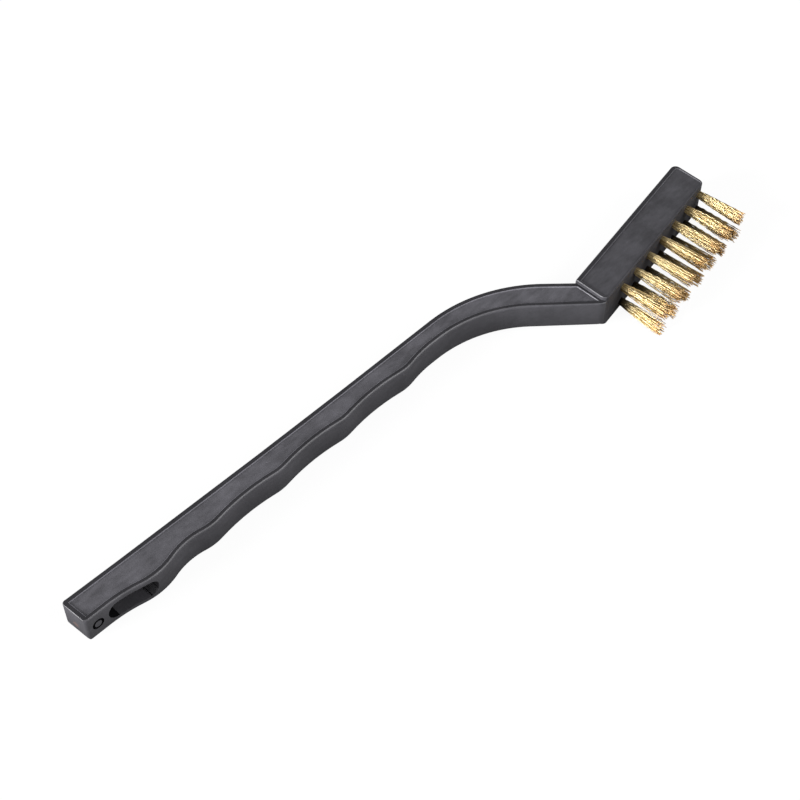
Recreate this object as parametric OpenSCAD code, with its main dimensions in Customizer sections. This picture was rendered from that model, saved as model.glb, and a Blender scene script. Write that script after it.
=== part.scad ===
// Hand brush for cleaning small tips: a moulded plastic handle whose thick head
// holds rows of crimped brass wire tufts, each folded over its own steel anchor.
//
// Drawn lying on its side, the way it rests on a bench.
// +X runs from the hang end to the head along the straight back.
// +Y points to the back, away from the wires. +Z is up, through the thickness.
// The origin is the middle of the head's lower side, which the brush rests on.

/* [Handle] */
// Straight length of the back, from the hang end to the start of the neck
shank_length = 102.2; // [100:0.1:106]
// Depth the back is hollowed along the shank, at its middle
back_hollow = 0.4; // [0.1:0.05:0.6]
// Thickness of handle and neck, side to side
handle_thickness = 7.1; // [6.4:0.1:8]
// Height of the hang end, back to belly
end_height = 6.9; // [6.6:0.05:7.2]
// Height at the pommel bump under the hang slot
bump_height = 8.25; // [8:0.05:8.6]
// Distance of the pommel bump from the hang end
bump_from_end = 17.4; // [16.8:0.1:18]
// Rounding radius of the corners of the hang end
end_corner_radius = 0.8; // [0.4:0.1:1.1]
// Angle the hang end leans, its belly side nearer the head
end_lean = 5; // [0:0.5:10]

/* [Finger grip] */
// Number of crests between the finger hollows
crest_count = 4; // [2:1:4]
// Distance of the first crest from the hang end
first_crest = 32.9; // [32.5:0.1:33.3]
// Distance from one crest to the next
crest_pitch = 18.67; // [17.5:0.01:18.7]
// Height at the first crest
first_crest_height = 7.2; // [7:0.05:7.4]
// Height at the last crest
last_crest_height = 6.1; // [5.9:0.05:6.3]
// Depth of a finger hollow below the crests beside it
hollow_depth = 0.7; // [0.4:0.05:1]
// Rounding radius of a crest
crest_radius = 12; // [8:0.5:14]
// Height of the waist, between the last crest and the neck
waist_height = 5.05; // [4.8:0.05:5.3]

/* [Neck] */
// Radius of the back of the neck
neck_back_radius = 37; // [36:0.1:38]
// Radius of the belly of the neck
neck_belly_radius = 31.5; // [30:0.1:32.5]
// Start of the belly curve, measured from the hang end
neck_belly_start = 100.4; // [99.5:0.1:101.5]
// Angle the back of the neck turns through
neck_back_angle = 44; // [43:0.1:45]
// Angle the belly of the neck turns through
neck_belly_angle = 42.2; // [41:0.1:43]
// Straight length of the neck's back before it meets the head
neck_straight = 7.2; // [6.5:0.1:7.8]
// Rounding radius of the corner between belly and bristle face
neck_corner_radius = 2.5; // [1:0.1:3]

/* [Head] */
// Length of the head block
head_length = 45.3; // [44.8:0.1:48]
// Depth of the head block, back to bristle face
head_depth = 8.8; // [8.4:0.1:9.6]
// Thickness of the head block, side to side
head_thickness = 9.2; // [9:0.1:11]
// Tilt of the head away from the line of the shank
head_tilt = 10.3; // [8:0.1:12]
// Angle both ends of the head lean back, towards the neck at the bristle face
end_slant = 9; // [4:0.5:10]
// Rounding radius of the head's corners, apart from the sharp one on the neck's back
head_corner_radius = 1.4; // [1:0.1:2]

/* [Side panels] */
// Width of the smooth rim left around each side panel
rim_width = 1.15; // [0.8:0.05:1.3]
// Width of the rims on either side of the step between neck and head
step_rim_width = 0.65; // [0.4:0.05:0.9]
// Width of the rim at the far end of the head
end_rim_width = 0.6; // [0.4:0.05:0.8]
// Width of the rim along the bristle face
bristle_rim_width = 0.35; // [0.2:0.05:0.6]
// Depth the side panels are sunk below the rim
panel_depth = 0.25; // [0.1:0.05:0.4]

/* [Hang slot] */
// Distance of the slot's centre from the hang end
slot_from_end = 11.7; // [11.5:0.1:14]
// Length of the slot, end to end
slot_length = 11.6; // [9:0.1:12.4]
// Width of the slot, which has fully round ends
slot_width = 4.7; // [4:0.1:5.4]

/* [Ejector mark] */
// Distance of the ring-shaped ejector mark from the hang end
mark_from_end = 3.3; // [2.5:0.1:4]
// Outer radius of the ring
mark_radius = 1.4; // [0.8:0.1:1.6]
// Width of the ring's groove
mark_width = 0.55; // [0.2:0.05:0.6]
// Depth of the ring's groove
mark_depth = 0.4; // [0.1:0.05:0.4]

/* [Wire tufts] */
// Distance from one tuft to the next along the head
tuft_pitch = 5.95; // [5.5:0.05:6]
// Distance of the first tuft from the near end of the head
first_tuft = 6.2; // [5.6:0.1:7]
// Distance between the two rows
row_gap = 4.8; // [4.2:0.1:5]
// Shift of both rows towards the lower side of the head
row_shift = 0.3; // [0:0.05:0.4]
// Length of the wires outside the head
tuft_length = 11.9; // [8:0.1:15]
// Radius of a tuft where it leaves the head
tuft_root_radius = 0.9; // [0.8:0.05:1]
// Radius of a tuft at its tip, where the wires spread
tuft_tip_radius = 1.7; // [1.2:0.05:1.8]

/* [Tuft holes and anchors] */
// Depth of a tuft hole
hole_depth = 5.2; // [4.5:0.1:6]
// Gap between tuft and hole wall
hole_clearance = 0.05; // [0.02:0.01:0.1]
// Length of an anchor, which bites into the plastic on both sides of its hole
anchor_length = 2.5; // [2.4:0.1:2.8]
// Height of an anchor, along the hole
anchor_height = 1.4; // [1:0.1:1.8]
// Thickness of an anchor
anchor_thickness = 0.35; // [0.25:0.05:0.5]

/* [Hidden] */
$fn = 96;

black_plastic = [0.2, 0.2, 0.21];
yellow_brass = [0.83, 0.68, 0.38];
bright_steel = [0.7, 0.7, 0.72];

// Tufts in each row, and the two rows as sides of the middle plane
tufts_per_row = 7;
upper = 1;
lower = -1;

// Height of the middle plane shared by handle and head
middle = head_thickness / 2;

// Pommel bump and the hollow beside it, which is tighter than the finger hollows
bump_radius = 16;
bump_hollow_radius = 15.8;

// Plastic left between the bottom of a hole and the fold, and under its anchor
fold_gap = 0.1;
anchor_seat = 0.6;

// Depth the neck keeps below the head's back corner and bristle face
neck_sink = 0.1;

// Reach of a cut past the surface it opens, and of the neck inside the head
past = 1;

function unit(angle) = [cos(angle), sin(angle)];

// Crossing of the line through p at angle a with the line through q at angle b
function crossing(p, a, q, b) =
    let (d = unit(a), e = unit(b), w = q - p)
    p + d * (w.x * e.y - w.y * e.x) / (d.x * e.y - d.y * e.x);

// Centre at distance dp from p and dq from q, on the belly side of the line p to q
function centre_below(p, dp, q, dq) =
    let (
        span = norm(q - p),
        along = (q - p) / span,
        a = (dp ^ 2 - dq ^ 2 + span ^ 2) / (2 * span)
    )
    p + along * a + [along.y, -along.x] * sqrt(dp ^ 2 - a ^ 2);

// Centre of a hollow that is level at height h and runs into the circle [c, r].
// It lies before that circle when side is -1, and after it when side is 1.
function level_hollow(c, r, h, hollow_r, side) =
    let (drop = c.y + h + hollow_r)
    [c.x + side * sqrt((r + hollow_r) ^ 2 - drop ^ 2), -h - hollow_r];

// Belly outline: round crests joined by round hollows, each pair tangent
last_crest = crest_count - 1;
crest_drop = (last_crest_height - first_crest_height) / last_crest;
crests = [
    [bump_from_end, bump_radius - bump_height],
    for (i = [0:last_crest])
        [first_crest + crest_pitch * i, crest_radius - first_crest_height - crest_drop * i]
];
crest_radii = [bump_radius, for (i = [0:last_crest]) crest_radius];

// Tangent circles: half a pitch apart and one hollow depth down
finger_reach = ((crest_pitch / 2) ^ 2 + hollow_depth ^ 2) / (2 * hollow_depth);
end_hollow_radius = 33.5;
hollow_radii = [
    end_hollow_radius,
    bump_hollow_radius,
    for (i = [1:last_crest]) finger_reach - crest_radius,
    neck_belly_radius
];
hollows = [
    level_hollow(crests[0], bump_radius, end_height, end_hollow_radius, -1),
    for (i = [0:last_crest])
        centre_below(
            crests[i], crest_radii[i] + hollow_radii[i + 1],
            crests[i + 1], crest_radii[i + 1] + hollow_radii[i + 1]
        ),
    level_hollow(crests[crest_count], crest_radius, waist_height, neck_belly_radius, 1)
];

// Direction from one point to another
function heading(from, to) = atan2(to.y - from.y, to.x - from.x);

// Points along an arc, with the given angle between neighbours or a little less
arc_step = 2.5;
corner_step = 15;
function arc(centre, radius, from, to, step = arc_step) =
    let (count = ceil(abs(to - from) / step))
    [for (i = [0:count]) centre + radius * unit(from + (to - from) * i / count)];

// Back of the shank: a very shallow hollow arc from the hang end to the neck
shank_radius = (shank_length ^ 2 / 4 + back_hollow ^ 2) / (2 * back_hollow);
shank_centre = [shank_length / 2, shank_radius - back_hollow];
shank_angle = asin(shank_length / 2 / shank_radius);
shank_step = 0.25;
corner_run = 1;

// Neck: two arcs, then two straight lines into the head
back_centre = [shank_length, 0] + neck_back_radius * unit(shank_angle - 90);
belly_centre = [neck_belly_start, -waist_height - neck_belly_radius];
function back_end(inset) =
    back_centre + (neck_back_radius - inset) * unit(90 - neck_back_angle);
function belly_end(inset) =
    belly_centre + (neck_belly_radius + inset) * unit(90 - neck_belly_angle);

// Head: its near back corner, its middle and the corner where the neck's belly meets it
head_corner =
    back_end(0) + neck_straight * unit(-neck_back_angle) + neck_sink * unit(90 - neck_back_angle);
head_middle =
    head_corner + head_length / 2 * unit(head_tilt) + head_depth / 2 * unit(head_tilt - 90);
step_angle = head_tilt - end_slant - 90;
sunk_corner = head_corner + (head_depth - neck_sink) / cos(end_slant) * unit(step_angle);
neck_corner = crossing(belly_end(0), -neck_belly_angle, sunk_corner, head_tilt);

// Centre of a rounding of radius r in the corner at p, whose edges leave at angles a and b
function rounding_centre(p, a, b, r) =
    let (way = unit(a) + unit(b))
    p + way / norm(way) * r / sin(abs(a - b) / 2);

// Flat shape given thickness, centred on the middle plane
module slab(thickness) {
    translate([0, 0, middle - thickness / 2]) linear_extrude(thickness) children();
}

// Skin of panel_depth on both sides of a slab, cut by the panel shape
module both_sides(thickness) {
    for (side = [upper, lower]) {
        face = middle + side * thickness / 2;
        translate([0, 0, side == upper ? face - panel_depth : face - past])
            linear_extrude(panel_depth + past) children();
    }
}

// Corners of the hang end, sharp where the inset is wider than their rounding
function end_points(inset) =
    let (
        r = max(end_corner_radius - inset, 0),
        face = [inset / cos(end_lean), 0],
        back = crossing(face, end_lean - 90, [0, -inset], 0),
        belly = crossing(face, end_lean - 90, [0, inset - end_height], 0)
    )
    r > 0
        ? concat(
            arc(rounding_centre(back, 0, end_lean - 90, r), r, 90, 180 + end_lean, corner_step),
            arc(rounding_centre(belly, 90 + end_lean, 0, r), r, 180 + end_lean, 270, corner_step)
        )
        : [back, belly];

// Angle along the shank's arc at which it stops, a corner's width from the hang end
function shank_stop(inset) =
    asin((max(inset, end_corner_radius) + corner_run - shank_length / 2) / (shank_radius + inset));

// Belly from the hang end to the waist: hollow, crest, hollow and so on
function belly_points(inset) = [
    for (i = [0:crest_count]) each concat(
        arc(
            hollows[i],
            hollow_radii[i] + inset,
            i == 0 ? 90 : heading(hollows[i], crests[i - 1]),
            heading(hollows[i], crests[i])
        ),
        arc(
            crests[i],
            crest_radii[i] - inset,
            heading(crests[i], hollows[i]),
            heading(crests[i], hollows[i + 1])
        )
    ),
    each arc(
        hollows[crest_count + 1],
        neck_belly_radius + inset,
        heading(hollows[crest_count + 1], crests[crest_count]),
        90
    )
];

// The belly of the neck turns a rounded corner and ends inside the head, like its back
function neck_end_points() =
    let (
        back_along = 180 - neck_belly_angle,
        centre = rounding_centre(neck_corner, back_along, head_tilt, neck_corner_radius)
    )
    concat(
        arc(centre, neck_corner_radius, back_along + 90, head_tilt + 270, corner_step),
        [
            centre + neck_corner_radius * unit(head_tilt - 90) + past * unit(head_tilt),
            back_end(0) + (neck_straight + past) * unit(-neck_back_angle)
        ]
    );

// A side panel stops one rim short of the head, along the slanted step
function panel_end_points() =
    let (stop = head_corner - step_rim_width / cos(end_slant) * unit(head_tilt))
    [
        crossing(belly_end(rim_width), -neck_belly_angle, stop, step_angle),
        crossing(back_end(rim_width), -neck_back_angle, stop, step_angle)
    ];

// Side view of handle and neck, shrunk by inset, with the given points beside the head
module shank_outline(inset, head_side) {
    polygon(concat(
        end_points(inset),
        belly_points(inset),
        arc(belly_centre, neck_belly_radius + inset, 90, 90 - neck_belly_angle),
        head_side,
        arc(back_centre, neck_back_radius - inset, 90 - neck_back_angle, 90 + shank_angle),
        arc(
            shank_centre, shank_radius + inset,
            shank_angle - shank_step - 90, shank_stop(inset) - 90, shank_step
        )
    ));
}

// Side view of the head block, in the head's own frame, with rims of the given widths
// along its back, beside the step, at the far end and along the bristle face
module head_outline(rim, step_rim, end_rim, face_rim) {
    r = head_corner_radius - end_rim;
    near_r = head_corner_radius - step_rim;
    lean = [-tan(end_slant), -1];
    depth = head_depth - rim - face_rim;
    near_corner = [step_rim / cos(end_slant), 0] + rim * lean;
    back_corner = [head_length - end_rim / cos(end_slant), 0] + rim * lean;
    near_bristle_corner = near_corner + depth * lean;
    bristle_corner = back_corner + depth * lean;
    polygon(concat(
        [near_corner],
        arc(
            rounding_centre(near_bristle_corner, 90 - end_slant, 0, near_r), near_r,
            180 - end_slant, 270, corner_step
        ),
        arc(
            rounding_centre(bristle_corner, 180, 90 - end_slant, r), r,
            -90, -end_slant, corner_step
        ),
        arc(
            rounding_centre(back_corner, 180, 270 - end_slant, r), r,
            -end_slant, 90, corner_step
        )
    ));
}

// The head's own frame: X along its back, Y away from the bristle face
module in_head_frame() {
    translate([head_corner.x, head_corner.y, 0]) rotate([0, 0, head_tilt]) children();
}

// The part's frame, with its origin under the middle of the head
module in_part_frame() {
    translate([-head_middle.x, -head_middle.y, 0]) children();
}

// Frame of one tuft: Z out of its hole, X along the head, origin on the bristle face
module at_tuft(row, i) {
    in_head_frame()
        translate([
            first_tuft + tuft_pitch * (i - 1),
            -head_depth,
            middle + row * row_gap / 2 - row_shift
        ])
            rotate([90, 0, 0]) children();
}

module at_every_tuft() {
    for (row = [upper, lower], i = [1:tufts_per_row]) at_tuft(row, i) children();
}

// Plate pressed across the bottom of a hole, standing on edge along the head
module anchor_plate(gap) {
    translate([
        -anchor_length / 2 - gap,
        -anchor_thickness / 2 - gap,
        -hole_depth + anchor_seat - gap
    ])
        cube([anchor_length, anchor_thickness, anchor_height] + [2, 2, 2] * gap);
}

// Slot with round ends through the handle, from belly to back
module hang_slot() {
    reach = bump_height + 2 * past;
    run = slot_length - slot_width;
    translate([slot_from_end, past, middle]) rotate([90, 0, 0]) linear_extrude(reach) {
        square([run, slot_width], center = true);
        for (side = [-1, 1]) translate([side * run / 2, 0]) circle(slot_width / 2);
    }
}

// Shallow ring left by a round ejector pin on the belly of the hang end
module ejector_mark() {
    translate([mark_from_end, mark_depth - end_height, middle]) rotate([90, 0, 0])
        difference() {
            cylinder(r = mark_radius, h = mark_depth + past);
            translate([0, 0, -past])
                cylinder(r = mark_radius - mark_width, h = mark_depth + 3 * past);
        }
}

module handle() {
    color(black_plastic) in_part_frame() difference() {
        union() {
            slab(handle_thickness) shank_outline(0, neck_end_points());
            in_head_frame() slab(head_thickness) head_outline(0, 0, 0, 0);
        }
        both_sides(handle_thickness) shank_outline(rim_width, panel_end_points());
        in_head_frame() both_sides(head_thickness)
            head_outline(rim_width, step_rim_width, end_rim_width, bristle_rim_width);
        hang_slot();
        ejector_mark();
        at_every_tuft() {
            translate([0, 0, -hole_depth])
                cylinder(r = tuft_root_radius + hole_clearance, h = hole_depth + past);
            anchor_plate(0);
        }
    }
}

// Bundle of wires folded under its anchor, straight in the hole and spread outside it
module wire_tuft(row, i) {
    color(yellow_brass) in_part_frame() at_tuft(row, i) difference() {
        union() {
            translate([0, 0, fold_gap - hole_depth])
                cylinder(r = tuft_root_radius, h = hole_depth - fold_gap);
            cylinder(r1 = tuft_root_radius, r2 = tuft_tip_radius, h = tuft_length);
        }
        anchor_plate(hole_clearance);
    }
}

module tuft_anchor(row, i) {
    color(bright_steel) in_part_frame() at_tuft(row, i) anchor_plate(0);
}

handle();
wire_tuft(upper, 1);  // tuft_upper_1
wire_tuft(upper, 2);  // tuft_upper_2
wire_tuft(upper, 3);  // tuft_upper_3
wire_tuft(upper, 4);  // tuft_upper_4
wire_tuft(upper, 5);  // tuft_upper_5
wire_tuft(upper, 6);  // tuft_upper_6
wire_tuft(upper, 7);  // tuft_upper_7
wire_tuft(lower, 1);  // tuft_lower_1
wire_tuft(lower, 2);  // tuft_lower_2
wire_tuft(lower, 3);  // tuft_lower_3
wire_tuft(lower, 4);  // tuft_lower_4
wire_tuft(lower, 5);  // tuft_lower_5
wire_tuft(lower, 6);  // tuft_lower_6
wire_tuft(lower, 7);  // tuft_lower_7
tuft_anchor(upper, 1);  // anchor_upper_1
tuft_anchor(upper, 2);  // anchor_upper_2
tuft_anchor(upper, 3);  // anchor_upper_3
tuft_anchor(upper, 4);  // anchor_upper_4
tuft_anchor(upper, 5);  // anchor_upper_5
tuft_anchor(upper, 6);  // anchor_upper_6
tuft_anchor(upper, 7);  // anchor_upper_7
tuft_anchor(lower, 1);  // anchor_lower_1
tuft_anchor(lower, 2);  // anchor_lower_2
tuft_anchor(lower, 3);  // anchor_lower_3
tuft_anchor(lower, 4);  // anchor_lower_4
tuft_anchor(lower, 5);  // anchor_lower_5
tuft_anchor(lower, 6);  // anchor_lower_6
tuft_anchor(lower, 7);  // anchor_lower_7
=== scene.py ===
import math

import bmesh
import bpy
import numpy as np
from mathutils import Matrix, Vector


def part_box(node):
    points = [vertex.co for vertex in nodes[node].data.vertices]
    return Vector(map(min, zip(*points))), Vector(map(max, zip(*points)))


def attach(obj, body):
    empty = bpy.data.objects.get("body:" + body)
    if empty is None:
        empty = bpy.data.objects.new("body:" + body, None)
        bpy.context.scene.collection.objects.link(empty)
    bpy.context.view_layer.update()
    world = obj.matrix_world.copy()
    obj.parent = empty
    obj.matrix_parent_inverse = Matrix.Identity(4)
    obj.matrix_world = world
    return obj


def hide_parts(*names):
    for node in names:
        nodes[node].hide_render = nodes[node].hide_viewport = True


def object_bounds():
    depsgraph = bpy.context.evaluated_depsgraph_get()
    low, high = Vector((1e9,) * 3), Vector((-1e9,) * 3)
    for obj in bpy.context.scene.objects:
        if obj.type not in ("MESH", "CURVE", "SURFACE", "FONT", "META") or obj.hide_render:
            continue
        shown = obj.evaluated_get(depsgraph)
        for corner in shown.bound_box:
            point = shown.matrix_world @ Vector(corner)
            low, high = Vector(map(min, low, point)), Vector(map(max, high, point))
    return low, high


# A small brass wire brush: the handle's edges and finishes, its wires and anchors, and a studio

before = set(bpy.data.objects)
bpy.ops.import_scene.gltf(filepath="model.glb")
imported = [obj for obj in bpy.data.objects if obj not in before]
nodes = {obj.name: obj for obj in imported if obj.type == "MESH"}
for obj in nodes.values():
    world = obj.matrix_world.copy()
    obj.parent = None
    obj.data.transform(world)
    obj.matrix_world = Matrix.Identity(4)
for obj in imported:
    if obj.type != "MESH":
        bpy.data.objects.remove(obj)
CAD_LOW, CAD_HIGH = [list(map(float, corner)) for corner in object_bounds()]

MM = 0.001
rng = np.random.default_rng(7)
scene = bpy.context.scene


# ------------------------------------------------------------------ the brush's own frame
def node_points(name):
    """All points of a CAD node, one per row."""
    mesh = nodes[name].data
    flat = np.empty(len(mesh.vertices) * 3)
    mesh.vertices.foreach_get("co", flat)
    return flat.reshape(-1, 3)


def middle_of(values):
    return float(values.max() + values.min()) / 2


def box_middle(name):
    low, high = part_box(name)
    return (np.array(low) + np.array(high)) / 2


handle_low, handle_high = [np.array(corner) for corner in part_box("handle")]
MIDDLE = (handle_low[2] + handle_high[2]) / 2
TUFTS = sorted(name for name in nodes if name.startswith("tuft_"))

# ALONG runs along the head away from the neck, OUT leaves its bristle face
FIRST_TUFT, LAST_TUFT = box_middle("tuft_upper_1"), box_middle("tuft_upper_7")
ALONG = (LAST_TUFT - FIRST_TUFT) / np.linalg.norm(LAST_TUFT - FIRST_TUFT)
OUT = np.array([ALONG[1], -ALONG[0], 0.0])
UP = np.array([0.0, 0.0, 1.0])
FACE = float((node_points("handle") @ OUT).max())


# ------------------------------------------------------------------ materials
class Shader:
    """A principled material and the few nodes used to vary it."""

    def __init__(self, name):
        self.material = bpy.data.materials.new(name)
        self.material.use_nodes = True
        self.tree = self.material.node_tree
        self.tree.nodes.clear()
        self.out = self.tree.nodes.new("ShaderNodeOutputMaterial")
        self.bsdf = self.tree.nodes.new("ShaderNodeBsdfPrincipled")
        self.link(self.bsdf.outputs[0], self.out.inputs[0])
        self.where = self.tree.nodes.new("ShaderNodeTexCoord").outputs["Object"]

    def link(self, source, target):
        self.tree.links.new(source, target)

    def feed(self, socket, value):
        if isinstance(value, tuple):
            socket.default_value = (*value, 1.0)
        elif isinstance(value, (int, float)):
            socket.default_value = value
        else:
            self.link(value, socket)

    def set(self, name, value):
        self.feed(self.bsdf.inputs[name], value)

    def base_colour(self):
        """The socket that the base colour comes from so far."""
        return self.bsdf.inputs["Base Color"].links[0].from_socket

    def noise(self, size, detail=3.0, roughness=0.5, where=None):
        """Noise whose blobs are about size metres wide."""
        node = self.tree.nodes.new("ShaderNodeTexNoise")
        node.inputs["Scale"].default_value = 1 / size
        node.inputs["Detail"].default_value = detail
        node.inputs["Roughness"].default_value = roughness
        self.link(where or self.where, node.inputs["Vector"])
        return node.outputs["Fac"]

    def stretched(self, x, y, z):
        """Positions scaled along each axis: a noise is longest where the scale is smallest."""
        node = self.tree.nodes.new("ShaderNodeMapping")
        node.inputs["Scale"].default_value = (x, y, z)
        self.link(self.where, node.inputs["Vector"])
        return node.outputs[0]

    def ramp(self, value, span, to):
        """A value mapped from one span of numbers to another, and held at its ends."""
        node = self.tree.nodes.new("ShaderNodeMapRange")
        for name, number in zip(("From Min", "From Max", "To Min", "To Max"), (*span, *to)):
            node.inputs[name].default_value = number
        self.link(value, node.inputs["Value"])
        return node.outputs[0]

    def math(self, operation, a, b):
        node = self.tree.nodes.new("ShaderNodeMath")
        node.operation = operation
        self.feed(node.inputs[0], a)
        self.feed(node.inputs[1], b)
        return node.outputs[0]

    def mix(self, factor, a, b):
        """Colour a where the factor is 0, turning to b where it is 1."""
        node = self.tree.nodes.new("ShaderNodeMix")
        node.data_type = "RGBA"
        factor_socket, a_socket, b_socket, colour_out = 0, 6, 7, 2
        self.feed(node.inputs[factor_socket], factor)
        self.feed(node.inputs[a_socket], a)
        self.feed(node.inputs[b_socket], b)
        return node.outputs[colour_out]

    def attribute(self, name):
        node = self.tree.nodes.new("ShaderNodeAttribute")
        node.attribute_name = name
        return node.outputs["Fac"]

    def distance(self, point):
        node = self.tree.nodes.new("ShaderNodeVectorMath")
        node.operation = "DISTANCE"
        node.inputs[1].default_value = point
        self.link(self.where, node.inputs[0])
        return node.outputs["Value"]

    def height(self):
        node = self.tree.nodes.new("ShaderNodeSeparateXYZ")
        self.link(self.where, node.inputs[0])
        return node.outputs["Z"]

    def bump(self, height, depth):
        node = self.tree.nodes.new("ShaderNodeBump")
        node.inputs["Distance"].default_value = depth
        self.link(height, node.inputs["Height"])
        self.link(node.outputs[0], self.bsdf.inputs["Normal"])


FULL = (0, 1)                # a mix that runs all the way from one colour to the other
NOISE_SPAN = (0.3, 0.7)      # where most values of a noise lie

GOLD_DEEP, GOLD_LIGHT = (0.78, 0.62, 0.33), (0.92, 0.78, 0.46)
# The last of these colours is painted shade for the wires near their roots
DARK_STRAND, COPPER_TIP, ROOT_SHADE_COLOUR = (0.34, 0.23, 0.09), (0.50, 0.27, 0.10), (0.035, 0.024, 0.018)
STEEL_DARK, STEEL_LIGHT = (0.48, 0.48, 0.50), (0.68, 0.68, 0.69)

LOWER_SHADE_GREY, LOWER_SHADE_PART = 0.012, 0.72    # the grey of the painted shade towards the lower edge, and how much of it
GATE_FROM_BACK, GATE_BELOW_MIDDLE = 3.5 * MM, 0.8 * MM
GATE_COLOUR, GATE_PART = (0.13, 0.078, 0.066), 0.55
GATE_FADE = (0.8 * MM, 1.4 * MM)    # distances over which the mark of the gate fades out
GATE_RAGGED = 0.8 * MM


def grey(value):
    """Charcoal of the plastic, a touch violet."""
    return (value, value * 0.975, value * 1.11)


def plastic(name, tones, gloss, grain, depth):
    """Moulded plastic between two greys and two roughnesses, with a grain of a size and depth."""
    shader = Shader(name)
    darkest, lightest = tones
    # Cloudy patches, and streaks along the handle
    patches = shader.noise(7 * MM, detail=4, roughness=0.55)
    streaks = shader.noise(1.1 * MM, roughness=0.6, where=shader.stretched(0.35, 1.0, 1.0))
    tone = shader.math("ADD", shader.math("MULTIPLY", patches, 0.6),
                       shader.math("MULTIPLY", streaks, 0.4))
    base = shader.mix(shader.ramp(tone, (0.36, 0.64), FULL), grey(darkest), grey(lightest))
    # A few light specks of dust
    dust = shader.noise(0.9 * MM, detail=2)
    base = shader.mix(shader.ramp(dust, (0.70, 0.78), (0, 0.35)), base, grey(2.2 * lightest))
    shader.set("Base Color", base)
    wear = shader.noise(1.6 * MM, detail=4, roughness=0.6)
    shader.set("Roughness", shader.ramp(wear, NOISE_SPAN, gloss))
    shader.bump(shader.noise(grain, roughness=0.6), depth)
    return shader


def edge_faces():
    """The sides of the handle, with painted shade darkening them towards their lower edge, and the
    gate's mark on the end.
    """
    shader = plastic("handle_edge_faces", (0.045, 0.068), (0.36, 0.50), 0.28 * MM, 0.014 * MM)
    # Painted shade: the sides turn darker towards their lower edge
    lower = shader.ramp(shader.height(), (handle_high[2], handle_low[2]), (0, LOWER_SHADE_PART))
    shader.set("Base Color", shader.mix(lower, shader.base_colour(), grey(LOWER_SHADE_GREY)))
    gate = (handle_low[0], handle_high[1] - GATE_FROM_BACK, MIDDLE - GATE_BELOW_MIDDLE)
    ragged = shader.math("ADD", shader.distance(gate),
                         shader.math("MULTIPLY", shader.noise(0.5 * MM), GATE_RAGGED))
    mark = shader.ramp(ragged, GATE_FADE, (GATE_PART, 0))
    shader.set("Base Color", shader.mix(mark, shader.base_colour(), GATE_COLOUR))
    return shader


def dull(shader, specular):
    """A plastic that mirrors less, for surfaces that the room's light hardly reaches."""
    shader.set("Specular IOR Level", specular)
    return shader


def brass():
    """Brass with lighter patches, some dark strands, coppery tips and painted shade at the root."""
    shader = Shader("brass_wire")
    patches = shader.ramp(shader.noise(0.9 * MM), NOISE_SPAN, FULL)
    gold = shader.mix(patches, GOLD_DEEP, GOLD_LIGHT)
    strand = shader.ramp(shader.attribute("shade"), (0.50, 0.80), (0, 0.90))
    gold = shader.mix(strand, gold, DARK_STRAND)
    # Painted shade near the roots, strongest on the lower row, which the head and upper row keep
    # from the light
    gold = shader.mix(shader.attribute("painted_root_shade"), gold, ROOT_SHADE_COLOUR)
    uneven = shader.ramp(shader.noise(1.5 * MM, detail=2), NOISE_SPAN, (-0.15, 0.15))
    toward_tip = shader.math("ADD", shader.attribute("run"), uneven)
    gold = shader.mix(shader.ramp(toward_tip, (0.72, 1.08), (0, 0.75)), gold, COPPER_TIP)
    shader.set("Base Color", gold)
    shader.set("Metallic", 1.0)
    shader.set("Roughness", shader.ramp(shader.noise(0.6 * MM), NOISE_SPAN, (0.34, 0.52)))
    shader.bump(shader.noise(0.09 * MM, detail=2), 0.004 * MM)
    return shader.material


def steel():
    """Rolled steel strip, streaked along its length."""
    shader = Shader("anchor_steel")
    streaks = shader.noise(0.5 * MM, roughness=0.6, where=shader.stretched(0.2, 0.2, 2.0))
    shader.set("Base Color", shader.mix(shader.ramp(streaks, NOISE_SPAN, FULL),
                                        STEEL_DARK, STEEL_LIGHT))
    shader.set("Metallic", 1.0)
    shader.set("Roughness", shader.ramp(streaks, NOISE_SPAN, (0.28, 0.48)))
    shader.bump(streaks, 0.006 * MM)
    return shader.material


# The finishes of the handle, some of them painted highlight or painted shade, in the order of its
# material slots
FINISHES_AND_PAINTED_LIGHT = {
    "sides": edge_faces(),
    "rim": plastic("handle_rim", (0.018, 0.026), (0.26, 0.38), 0.30 * MM, 0.006 * MM),
    "panel": plastic("handle_panel", (0.044, 0.088), (0.46, 0.60), 0.26 * MM, 0.06 * MM),
    "head_panel": plastic("handle_head_panel", (0.028, 0.056), (0.42, 0.56), 0.26 * MM, 0.05 * MM),
    # Lighter grey on the step walls and their bevels: painted highlight, added to the bevel's real
    # one; fainter on the head
    "line": plastic("handle_panel_edge_painted_highlight", (0.10, 0.15), (0.40, 0.55), 0.24 * MM, 0.010 * MM),
    "head_line": plastic("handle_head_panel_edge_painted_highlight", (0.05, 0.07), (0.40, 0.55),
                         0.24 * MM, 0.010 * MM),
    # Near-black grey in the slot and the ring mark: painted shade of these recesses
    "groove": dull(plastic("handle_groove_painted_shade", (0.003, 0.005), (0.80, 0.95),
                           0.24 * MM, 0.010 * MM), 0.0),
    # Darker grey of the bristle face: painted shade between the tufts
    "face": dull(plastic("handle_bristle_face_painted_shade", (0.022, 0.036), (0.42, 0.56),
                         0.26 * MM, 0.014 * MM), 0.25),
}
FINISH = {kind: number for number, kind in enumerate(FINISHES_AND_PAINTED_LIGHT)}
BRASS, STEEL = brass(), steel()


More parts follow.
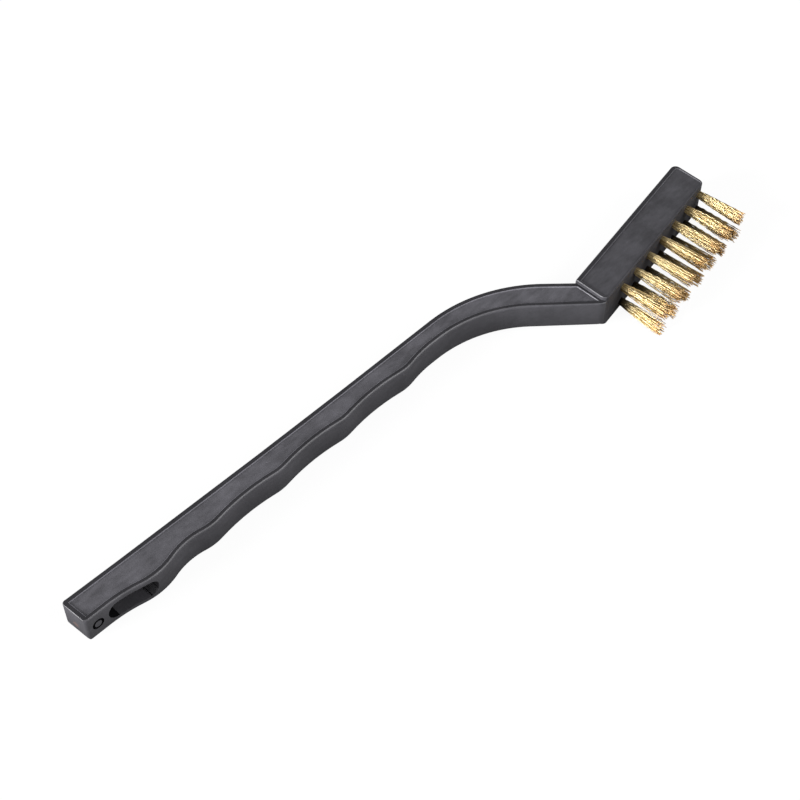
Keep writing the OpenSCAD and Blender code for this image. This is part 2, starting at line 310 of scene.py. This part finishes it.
# ------------------------------------------------------------------ handle
BELLY_EDGE_RADIUS, BACK_EDGE_RADIUS = 0.48 * MM, 0.20 * MM  # of the upper side
LOWER_EDGE_RADIUS, END_FOOT_RADIUS = 0.30 * MM, 0.60 * MM   # of the lower side
EDGE_STRETCH = 1.5           # reach of the handle's roundings down its sides, over their radius
HEAD_EDGE_RADIUS, FACE_EDGE_RADIUS = 0.30 * MM, 0.16 * MM
FACE_MARGIN = 0.3 * MM       # edges this close to the plane of the bristle face belong to it
END_EDGE_RADIUS = 0.20 * MM  # of an edge where it runs into the head
FADE_REACH = 9 * MM          # distance from the head over which the roundings narrow to that
HEAD_START = 7.5 * MM        # from the near end of the head to its first tuft
EDGE_STEPS = 6
LINE_WIDTH = 0.15 * MM       # softened edge where a rim drops to its panel
STEP_DEPTH = 0.35 * MM       # walls lower than this belong to a sunk panel
SHARP = math.radians(28)     # flatter edges than this are left as they are
SMOOTH = math.radians(24)    # edges sharper than this stay creased in the shading
CORE = 3 * MM                # half thickness that holds slot and ring mark, but not all of a hole
END_HEIGHT = 6.9 * MM        # of the hang end, from back to belly
MARK_FROM_END, MARK_REACH = 3.3 * MM, 1.6 * MM
MARK_TOP, MARK_FLOOR = 0.03 * MM, 1 * MM    # depths below the belly that take in the mark
SLOT_START, SLOT_STOP = 5.6 * MM, 17.8 * MM     # distances from the hang end
SLOT_INSIDE = 2 * MM         # from mid-height, to which a face's middle may lie and be the slot's
SAME_LEVEL = 0.1             # mm between faces of one panel


def height_of(face):
    heights = [v.co.z for v in face.verts]
    return max(heights) - min(heights)


def level_of(face):
    """Height of a face above or below the middle plane."""
    return abs(face.calc_center_median().z - MIDDLE)


def is_flat(face):
    """Whether a face is part of the upper or lower side, or the outermost wall of a tuft hole."""
    return abs(face.normal.z) > 0.9 and level_of(face) > CORE


def is_wall(face):
    """Whether a face is the low step between a rim and its sunk panel."""
    return abs(face.normal.z) < 0.3 and height_of(face) < STEP_DEPTH and level_of(face) > CORE


def in_mark(point):
    """Whether a point lies in the ring mark, below the belly surface of the hang end."""
    depth = point[1] - (handle_high[1] - END_HEIGHT)
    across = math.hypot(point[0] - handle_low[0] - MARK_FROM_END, point[2] - MIDDLE)
    return across < MARK_REACH and MARK_TOP < depth < MARK_FLOOR


def in_slot(point):
    """Whether a point is well inside the hang slot, between belly and back."""
    depth = handle_high[1] - END_HEIGHT / 2 - point[1]
    return SLOT_START < point[0] - handle_low[0] < SLOT_STOP and abs(depth) < SLOT_INSIDE


def from_head(point):
    """Distance of a point from the near end of the head, negative on the head."""
    return float((FIRST_TUFT - np.array(point)) @ ALONG) - HEAD_START


def on_head(point):
    return from_head(point) < 0


def edge_radius(edge):
    """Radius of the edge between a flat face and a side, 0 for other edges.

    The flat walls of the tuft holes get one too, which leaves a small lip at the mouth.
    """
    faces = edge.link_faces
    if len(faces) != 2 or edge.calc_face_angle_signed(0) < SHARP or any(map(is_wall, faces)):
        return 0
    if is_flat(faces[0]) == is_flat(faces[1]):
        return 0
    mid = (edge.verts[0].co + edge.verts[1].co) / 2
    if on_head(mid):
        on_face = FACE - float(np.array(mid) @ OUT) < FACE_MARGIN
        return FACE_EDGE_RADIUS if on_face else HEAD_EDGE_RADIUS
    side = faces[1].normal if is_flat(faces[0]) else faces[0].normal
    if mid.z > MIDDLE:
        faces_belly = side.y < -0.3
        full = BELLY_EDGE_RADIUS if faces_belly else BACK_EDGE_RADIUS
    else:
        faces_end = side.x < -0.7 and side.y > -0.5
        full = END_FOOT_RADIUS if faces_end else LOWER_EDGE_RADIUS
    return END_EDGE_RADIUS + (full - END_EDGE_RADIUS) * min(from_head(mid) / FADE_REACH, 1)


def edge_ring(vert, edges, radii):
    """Points of the rounding at one vertex, from the flat face down to the side."""
    sides = [face for e in edges for face in e.link_faces if not is_flat(face)]
    radius = sum(radii[e] for e in edges) / len(edges)
    first = sides[0].normal
    if len(edges) > 1:
        second, reach = sides[1].normal, radius
    else:
        # The rounding dies away into the wall of the head
        second = next(f.normal for f in vert.link_faces
                      if f not in sides and not is_flat(f) and abs(f.normal.dot(first)) < 0.98)
        radius, reach = min(radius, END_EDGE_RADIUS), 0
    nearly_straight = first.dot(second) > 0.999
    if nearly_straight:
        inward = first * radius
    else:
        across = np.linalg.solve([[first.x, first.y], [second.x, second.y]], [radius, reach])
        inward = Vector((*across, 0))
    depth = radius * (1 if on_head(vert.co) else EDGE_STRETCH)
    drop = Vector((0, 0, depth if vert.co.z > MIDDLE else -depth))
    turns = [math.pi / 2 * k / EDGE_STEPS for k in range(EDGE_STEPS + 1)]
    return [vert.co - inward * (1 - math.sin(turn)) - drop * (1 - math.cos(turn)) for turn in turns]


def trimmed_outline(face, rings, corners, radii):
    """Outline of a face with each rounded vertex replaced by its points on that face."""
    verts = []
    for loop in face.loops:
        ring = rings.get(loop.vert)
        if ring is None:
            verts.append(loop.vert)
            continue
        before, after = loop.link_loop_prev.edge, loop.edge
        foot = [e for e in (before, after)
                if e not in radii and any(is_flat(f) for f in e.link_faces)]
        if is_flat(face):
            verts.append(ring[0])
        elif len(corners[loop.vert]) == 1 and foot:
            verts += ring if foot[0] == before else ring[::-1]
        else:
            verts.append(ring[-1])
    return verts


def add_strip(bm, start, end, outward, finish):
    """Faces of one rounded edge, between the rings of its two vertices."""
    for k in range(EDGE_STEPS):
        face = bm.faces.new((start[k], end[k], end[k + 1], start[k + 1]))
        face.material_index = finish
        face.normal_update()
        if face.normal.dot(outward) < 0:
            face.normal_flip()


def round_edges(bm):
    """Round the outer edges of the upper and lower sides of the handle."""
    radii = {edge: edge_radius(edge) for edge in bm.edges}
    radii = {edge: radius for edge, radius in radii.items() if radius}
    corners = {}
    for edge in radii:
        for vert in edge.verts:
            corners.setdefault(vert, []).append(edge)
    rings = {vert: [bm.verts.new(point) for point in edge_ring(vert, edges, radii)]
             for vert, edges in corners.items()}
    changed = dict.fromkeys(face for vert in rings for face in vert.link_faces)
    strips = []
    for edge in radii:
        side = next(face for face in edge.link_faces if not is_flat(face))
        outward = side.normal + Vector((0, 0, 1 if edge.verts[0].co.z > MIDDLE else -1))
        strips.append(([rings[vert] for vert in edge.verts], outward, side.material_index))
    rebuilt = [(trimmed_outline(face, rings, corners, radii), face.material_index)
               for face in changed]
    bmesh.ops.delete(bm, geom=list(changed), context="FACES_ONLY")
    for verts, finish in rebuilt:
        bm.faces.new(verts).material_index = finish
    for (start, end), outward, finish in strips:
        add_strip(bm, start, end, outward, finish)
    bmesh.ops.delete(bm, geom=list(rings), context="VERTS")
    bm.normal_update()


def panel_levels(bm):
    """Level of the sunk panels of the shank and of the head, in mm, by whether it is the head."""
    areas = {}
    for face in filter(is_flat, bm.faces):
        key = (on_head(face.calc_center_median()), round(level_of(face) / MM, 1))
        areas[key] = areas.get(key, 0) + face.calc_area()
    levels = {}
    for head in (False, True):
        # The two biggest levels are the rim and, nearer the middle plane, the panel
        biggest = sorted((key for key in areas if key[0] == head), key=areas.get)[-2:]
        levels[head] = min(level for _, level in biggest)
    return levels


def finish_of(face, panels):
    """The surface finish that a face of the handle is moulded with, or the painted highlight or
    painted shade that it is given.
    """
    point = face.calc_center_median()
    head = on_head(point)
    # The step walls take the painted highlight of the line
    if is_wall(face):
        return "line"
    if is_flat(face):
        sunk = abs(level_of(face) / MM - panels[head]) < SAME_LEVEL
        panel = "head_panel" if head else "panel"
        return panel if sunk else "rim"
    # The slot and the ring mark get the near-black painted shade
    if in_mark(point) or in_slot(point):
        return "groove"
    # The bristle face gets the darker grey of painted shade
    if head and float(np.array(face.normal) @ OUT) > 0.7:
        return "face"
    return "sides"


def shaped_handle():
    """Mesh of the CAD handle with its faces sorted by finish and its outer edges rounded."""
    bm = bmesh.new()
    bm.from_mesh(nodes["handle"].data)
    bmesh.ops.remove_doubles(bm, verts=bm.verts, dist=0.0005 * MM)
    bmesh.ops.dissolve_limit(bm, angle_limit=math.radians(0.4), verts=bm.verts, edges=bm.edges)
    bm.normal_update()
    panels = panel_levels(bm)
    for face in bm.faces:
        face.material_index = FINISH[finish_of(face, panels)]
    round_edges(bm)
    line_weight = bm.edges.layers.float.new("line_weight")
    for edge in bm.edges:
        if len(edge.link_faces) == 2 and any(map(is_wall, edge.link_faces)):
            edge[line_weight] = float(edge.calc_face_angle_signed(0) > SHARP)
    mesh = bpy.data.meshes.new("handle_body")
    bm.to_mesh(mesh)
    bm.free()
    return mesh


def apply_modifiers(body):
    """Give an object the mesh that its modifiers make, without them."""
    depsgraph = bpy.context.evaluated_depsgraph_get()
    mesh = bpy.data.meshes.new_from_object(body.evaluated_get(depsgraph))
    body.modifiers.clear()
    body.data = mesh


def soften_lines(body):
    """Soften the edge where each rim drops to its panel."""
    bevel = body.modifiers.new("line", "BEVEL")
    bevel.limit_method = "WEIGHT"
    bevel.edge_weight = "line_weight"
    bevel.width = LINE_WIDTH
    bevel.segments = 2
    bevel.miter_outer = "MITER_ARC"
    # The bevel's faces take the painted highlight of the line
    bevel.material = FINISH["line"]
    apply_modifiers(body)


def settle_finishes(mesh):
    """Tell the lines of the head from the others, and the rims from the roundings."""
    for p in mesh.polygons:
        p.use_smooth = True
        # The lines on the head take a fainter painted highlight
        if p.material_index == FINISH["line"] and on_head(p.center):
            p.material_index = FINISH["head_line"]
        outside = p.material_index in (FINISH["rim"], FINISH["sides"])
        if outside and abs(p.center.z - MIDDLE) > CORE:
            level = abs(p.normal.z) > 0.93
            p.material_index = FINISH["rim"] if level else FINISH["sides"]


def shade_smooth(body):
    """Shade over the small facets, with the sharp edges left creased."""
    body.data.set_sharp_from_angle(angle=SMOOTH)
    weighted = body.modifiers.new("weighted", "WEIGHTED_NORMAL")
    weighted.keep_sharp = True
    weighted.weight = 90
    apply_modifiers(body)


def moulded_handle():
    """The piece that stands for the CAD handle."""
    mesh = shaped_handle()
    for shader in FINISHES_AND_PAINTED_LIGHT.values():
        mesh.materials.append(shader.material)
    body = bpy.data.objects.new("handle_body", mesh)
    scene.collection.objects.link(body)
    soften_lines(body)
    settle_finishes(body.data)
    shade_smooth(body)
    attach(body, "root")
    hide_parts("handle")


moulded_handle()


# ------------------------------------------------------------------ wires
WIRE_RADIUS = 0.075 * MM
WIRE_RADIUS_SPREAD = (0.92, 1.08)
WIRES = 30                   # folded wires in a tuft, each with two legs
TUBE_SIDES = 5
LEG_POINTS = 44
ROOT_RADIUS = 0.9 * MM       # of the bundle where it leaves the head
GROWTH, GROWTH_POWER = 0.8, 0.7     # of the bundle from root to tip, fastest near the root
LEG_LENGTH, LEG_SCATTER, LEG_LIMIT = 0.985, 0.035, 1.03     # over the length of the CAD tuft
TIP_STRAY, BOW = 0.17 * MM, 0.10 * MM
CRIMP_HEIGHT = (0.035, 0.080)       # mm
CRIMP_PITCH = (1.8, 2.6)            # mm
CRIMP_START = 0.8 * MM       # from the root, over which the crimps grow to their full height
CRIMP_PLANE = 0.9            # spread of the angle of the plane that the crimps lie in
FOLD_DEPTH = 4.4 * MM        # of the fold below the bristle face, just inside the anchor's foot
FOLD_ROUND = 0.35 * MM
ANCHOR_GAP = 0.26 * MM       # kept free for the anchor between the two halves
ROOT_SHADE_REACH = 0.5          # part of a leg, from its root, that has painted shade
SPOT_TRIES = 12              # random spots tried for each root, of which the freest is taken

# Each row's lean, and the strength of the painted shade at its roots
UPPER_LEAN, UPPER_ROOT_SHADE = (-0.6, -1.0), 0.15      # mm along the head and upwards, at the tips
LOWER_LEAN, LOWER_ROOT_SHADE = (-1.8, -0.4), 1.0
LEAN_SCATTER = 0.12 * MM


def tube(path, radius):
    """Closed tube along a path: its points and faces."""
    tangents = np.gradient(path, axis=0)
    tangents /= np.linalg.norm(tangents, axis=1)[:, None]
    around = np.arange(TUBE_SIDES) * 2 * math.pi / TUBE_SIDES
    side, rings = ALONG, []
    for point, tangent in zip(path, tangents):
        side = side - tangent * (side @ tangent)
        side = side / np.linalg.norm(side)
        across = np.cross(tangent, side)
        rings.append(point + radius * (np.cos(around)[:, None] * side
                                       + np.sin(around)[:, None] * across))
    points = np.concatenate(rings)
    faces = []
    for i in range(len(path) - 1):
        for k in range(TUBE_SIDES):
            a, b = i * TUBE_SIDES + k, i * TUBE_SIDES + (k + 1) % TUBE_SIDES
            faces.append((a, b, b + TUBE_SIDES, a + TUBE_SIDES))
    faces.append(tuple(range(TUBE_SIDES))[::-1])
    faces.append(tuple(range(len(points) - TUBE_SIDES, len(points))))
    return points, faces


def half_disc(count, radius, side):
    """Points spread over half a disc, clear of the anchor along its diameter."""
    kept = []
    while len(kept) < count:
        tries = []
        while len(tries) < SPOT_TRIES:
            r, angle = radius * math.sqrt(rng.random()), math.pi * rng.random()
            spot = np.array([r * math.cos(angle), side * r * math.sin(angle)])
            if abs(spot[1]) > ANCHOR_GAP:
                tries.append(spot)
        gaps = [min((np.linalg.norm(t - k) for k in kept), default=1) for t in tries]
        kept.append(tries[int(np.argmax(gaps))])
    return kept


def leg(root, length, lean):
    """One crimped leg from the bristle face to its tip, in the tuft's own frame."""
    reach = min(length * (LEG_LENGTH + rng.normal(0, LEG_SCATTER)), length * LEG_LIMIT)
    t = np.linspace(0, 1, LEG_POINTS)
    grow = 1 + GROWTH * t ** GROWTH_POWER
    stray, bend = rng.normal(0, TIP_STRAY, 2), rng.normal(0, BOW, 2)
    crimp = rng.uniform(*CRIMP_HEIGHT) * MM
    pitch = rng.uniform(*CRIMP_PITCH) * MM
    plane = rng.normal(0, CRIMP_PLANE)
    wobble = np.clip(t * length / CRIMP_START, 0, 1) * crimp \
        * np.sin(2 * math.pi * (t * reach / pitch + rng.random()))
    x, y = [root[i] * grow + (lean[i] + stray[i]) * t + bend[i] * np.sin(math.pi * t)
            for i in (0, 1)]
    return np.stack([x + wobble * math.cos(plane), y + wobble * math.sin(plane), t * reach], axis=1)


def fold(start, end):
    """The part of a wire inside its hole, down from start, across the anchor and up to end."""
    drop = np.linspace(0, 1, 5)[1:, None] * np.array([0, 0, FOLD_ROUND - FOLD_DEPTH])
    down, rise = start + drop, (end + drop)[::-1]
    middle, half = (down[-1] + rise[0]) / 2, (down[-1] - rise[0]) / 2
    turn = np.linspace(0, math.pi, 7)[1:-1, None]
    bottom = middle + half * np.cos(turn) - np.array([0, 0, FOLD_ROUND]) * np.sin(turn)
    return np.concatenate([down, bottom, rise])


def folded_wire(top, bottom, length, lean):
    """Path of one wire in the tuft's own frame, and each point's place along its leg, 0 to 1."""
    up_leg, down_leg = leg(top, length, lean), leg(bottom, length, lean)
    inside = fold(up_leg[0], down_leg[0])
    along_leg = np.linspace(0, 1, LEG_POINTS)
    run = np.concatenate([along_leg[::-1], np.zeros(len(inside)), along_leg])
    return np.concatenate([up_leg[::-1], inside, down_leg]), run


def add_bundle(name, points, faces, values):
    """Make the piece that stands for a CAD tuft, with values on its points for the material."""
    mesh = bpy.data.meshes.new(name + "_wires")
    mesh.from_pydata(points.tolist(), [], faces)
    for label, numbers in values.items():
        mesh.attributes.new(label, "FLOAT", "POINT").data.foreach_set("value", numbers)
    mesh.materials.append(BRASS)
    for p in mesh.polygons:
        on_tube = len(p.vertices) == 4
        p.use_smooth = on_tube
    bundle = bpy.data.objects.new(name + "_wires", mesh)
    scene.collection.objects.link(bundle)
    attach(bundle, "root")
    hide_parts(name)


def wire_tuft(name, lean, root_shade_strength):
    """A tuft of folded crimped wires, with painted shade at the root, for the solid bundle of the
    CAD.
    """
    solid = node_points(name)
    root = middle_of(solid @ ALONG) * ALONG + FACE * OUT + middle_of(solid @ UP) * UP
    length = float((solid @ OUT).max()) - FACE
    axes = np.stack([ALONG, UP, OUT])
    spread = ROOT_RADIUS - WIRE_RADIUS
    tops, bottoms = half_disc(WIRES, spread, 1), half_disc(WIRES, spread, -1)
    partners = rng.permutation(WIRES)
    points, faces, runs, shades = [], [], [], []
    for i in range(WIRES):
        path, run = folded_wire(tops[i], bottoms[partners[i]], length, lean)
        path = path @ axes + root
        path[:, 2] = np.maximum(path[:, 2], CAD_LOW[2] + WIRE_RADIUS)
        radius = WIRE_RADIUS * rng.uniform(*WIRE_RADIUS_SPREAD)
        tube_points, tube_faces = tube(path, radius)
        start = i * len(tube_points)
        faces += [tuple(start + k for k in face) for face in tube_faces]
        points.append(tube_points)
        runs.append(np.repeat(run, TUBE_SIDES))
        # Each leg has its own shade, and they meet at the bottom of the fold
        half = len(path) // 2
        shade = np.repeat(rng.random(2), (half, len(path) - half))
        shades.append(np.repeat(shade, TUBE_SIDES))
    run = np.concatenate(runs)
    # Painted shade, fading out along each leg from its root
    painted_root_shade = root_shade_strength * np.clip(1 - run / ROOT_SHADE_REACH, 0, 1)
    add_bundle(name, np.concatenate(points), faces,
               {"run": run, "shade": np.concatenate(shades), "painted_root_shade": painted_root_shade})


# Used wires lean towards the handle, the lower row most, and down, the upper row most
for name in TUFTS:
    lower = name.startswith("tuft_lower")
    lean, root_shade_strength = (LOWER_LEAN, LOWER_ROOT_SHADE) if lower else (UPPER_LEAN, UPPER_ROOT_SHADE)
    wire_tuft(name, np.array(lean) * MM + rng.normal(0, LEAN_SCATTER, 2), root_shade_strength)

for name, node in nodes.items():
    if name.startswith("anchor_"):
        node.data.materials.clear()
        node.data.materials.append(STEEL)


# ------------------------------------------------------------------ camera
# The eye looks at a point on the shank, measured from the hang end and the back
AIM_ALONG, AIM_BELOW_BACK, EYE_DISTANCE = 83.93 * MM, 9.2 * MM, 358.57 * MM
AZIMUTH, ELEVATION = math.radians(-44.904), math.radians(52.0)
SENSOR_WIDTH, FOCAL_LENGTH = 36, 74.88      # mm
NEAREST = 0.01                              # metres, closer than anything in view

aim = Vector((handle_low[0] + AIM_ALONG, handle_high[1] - AIM_BELOW_BACK, MIDDLE))
back = Vector((math.sin(AZIMUTH) * math.cos(ELEVATION),
               -math.cos(AZIMUTH) * math.cos(ELEVATION), math.sin(ELEVATION)))
camera = bpy.data.objects.new("camera", bpy.data.cameras.new("camera"))
scene.collection.objects.link(camera)
camera.location = aim + back * EYE_DISTANCE
camera.rotation_euler = back.to_track_quat("Z", "Y").to_euler()
camera.data.sensor_width = SENSOR_WIDTH
camera.data.lens = FOCAL_LENGTH
camera.data.clip_start = NEAREST
scene.camera = camera


# ------------------------------------------------------------------ stage
FLOOR_SIZE, FLOOR_GAP = 6, 0.05 * MM        # metres, and the gap below the brush
FLOOR_WHITE, FLOOR_BOUNCE = 0.93, 0.22
FLOOR_GLOW = 0.93            # part of what the camera sees that is even white, free of shadows
SKY_BRIGHT, SKY_DIM = 0.62, 0.16
SKY_FADE = (0.55, 0.97)      # cosines of the angle from the dimmest direction
KEY_OFFSET, KEY_SIZE, KEY_POWER = (-2.20, 0.60, 0.68), 0.90, 124        # metres and watts
FILL_OFFSET, FILL_SIZE, FILL_POWER = (0.41, -0.74, 0.44), 0.75, 9


def white_floor():
    """Seen as a nearly shadowless white sweep, but dim in what it throws back at the brush."""
    shader = Shader("floor_white")
    shader.set("Base Color", (FLOOR_WHITE, FLOOR_WHITE, FLOOR_WHITE))
    shader.set("Roughness", 0.9)
    shader.set("Specular IOR Level", 0.0)
    tree = shader.tree
    dim = tree.nodes.new("ShaderNodeBsdfDiffuse")
    dim.inputs["Color"].default_value = (FLOOR_BOUNCE, FLOOR_BOUNCE, FLOOR_BOUNCE, 1)
    glow = tree.nodes.new("ShaderNodeEmission")
    glow.inputs["Strength"].default_value = 1.0
    seen = tree.nodes.new("ShaderNodeMixShader")
    seen.inputs[0].default_value = FLOOR_GLOW
    shader.link(shader.bsdf.outputs[0], seen.inputs[1])
    shader.link(glow.outputs[0], seen.inputs[2])
    split = tree.nodes.new("ShaderNodeMixShader")
    rays = tree.nodes.new("ShaderNodeLightPath")
    shader.link(rays.outputs["Is Camera Ray"], split.inputs[0])
    shader.link(dim.outputs[0], split.inputs[1])
    shader.link(seen.outputs[0], split.inputs[2])
    shader.link(split.outputs[0], shader.out.inputs[0])
    return shader.material


def lay_floor():
    bpy.ops.mesh.primitive_plane_add(size=FLOOR_SIZE, location=(0, 0, CAD_LOW[2] - FLOOR_GAP))
    floor = bpy.context.object
    floor.name = "floor"
    floor.data.materials.append(white_floor())


def studio_world():
    """Even soft sky, dim where the upper side of the brush would mirror it to the camera."""
    world = bpy.data.worlds.new("studio")
    world.use_nodes = True
    tree = world.node_tree
    background = tree.nodes["Background"]
    direction = tree.nodes.new("ShaderNodeTexCoord").outputs["Generated"]
    cosine = tree.nodes.new("ShaderNodeVectorMath")
    cosine.operation = "DOT_PRODUCT"
    cosine.inputs[1].default_value = Vector((-back.x, -back.y, back.z))
    tree.links.new(direction, cosine.inputs[0])
    ramp = tree.nodes.new("ShaderNodeMapRange")
    ramp.interpolation_type = "SMOOTHSTEP"
    for label, number in zip(("From Min", "From Max", "To Min", "To Max"),
                             (*SKY_FADE, SKY_BRIGHT, SKY_DIM)):
        ramp.inputs[label].default_value = number
    tree.links.new(cosine.outputs["Value"], ramp.inputs["Value"])
    tree.links.new(ramp.outputs[0], background.inputs["Strength"])
    background.inputs["Color"].default_value = (1, 1, 1, 1)
    scene.world = world


def softbox(name, offset, size, power):
    """Square area light, offset from the aim and turned towards it."""
    light = bpy.data.lights.new(name, "AREA")
    light.size = size
    light.energy = power
    box = bpy.data.objects.new(name, light)
    scene.collection.objects.link(box)
    box.location = aim + Vector(offset)
    box.rotation_euler = Vector(offset).to_track_quat("Z", "Y").to_euler()


lay_floor()
studio_world()
softbox("key", KEY_OFFSET, KEY_SIZE, KEY_POWER)
softbox("fill", FILL_OFFSET, FILL_SIZE, FILL_POWER)
scene.view_settings.view_transform = "Standard"
